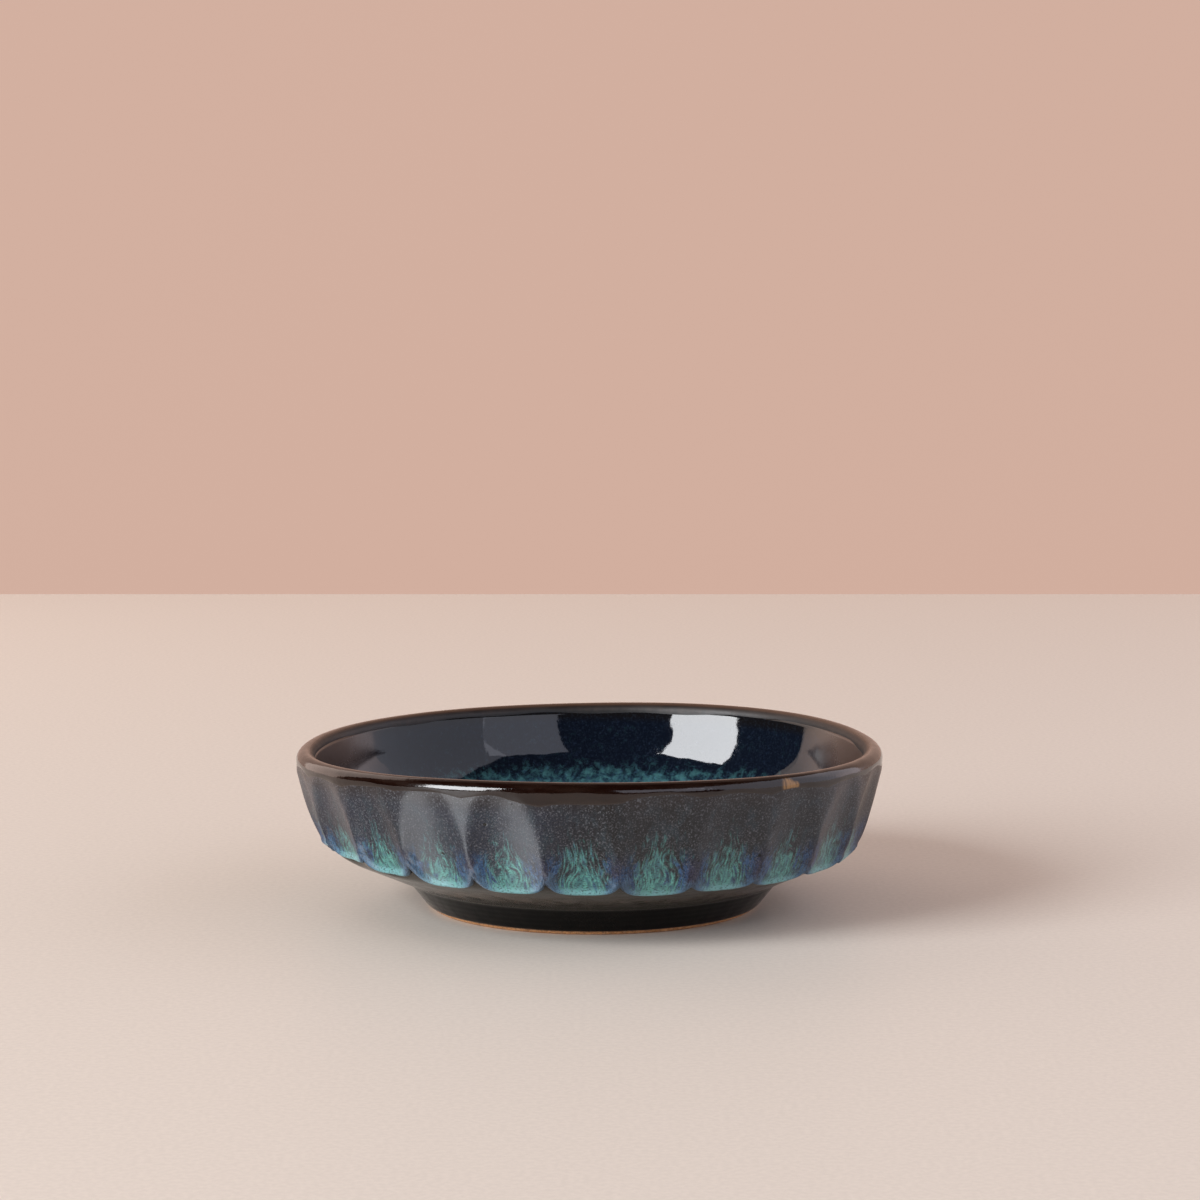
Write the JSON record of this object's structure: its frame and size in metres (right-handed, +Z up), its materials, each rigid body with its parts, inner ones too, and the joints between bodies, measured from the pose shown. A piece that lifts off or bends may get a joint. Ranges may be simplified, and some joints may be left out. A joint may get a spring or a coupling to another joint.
{
  "type": "soy sauce dish",
  "caption": "Shallow round stoneware dish for soy sauce, with a fluted glazed wall, a rolled lip and a low foot ring.",
  "frame": {"origin": "centre of the foot ring's flat face, on the table", "axes": "+Z up along the axis of the dish, -Y towards the front seen in the picture"},
  "size_m": [0.1, 0.1, 0.028],
  "materials": {
    "clay": "bare fired stoneware",
    "dark_glaze": "glossy black-brown",
    "flowing_glaze": "satin grey with teal and blue streaks",
    "rim_glaze": "glossy brown",
    "navy_glaze": "glossy navy",
    "well_glaze": "glossy mottled teal"
  },
  "bodies": {
    "root": {"clay_bowl": "clay", "foot_ring": "clay", "base_coat": "dark_glaze", "flute_coat": "flowing_glaze", "rim_band": "rim_glaze", "inner_coat": "navy_glaze", "well_coat": "well_glaze", "recess_coat": "dark_glaze"}
  },
  "joints": []
}
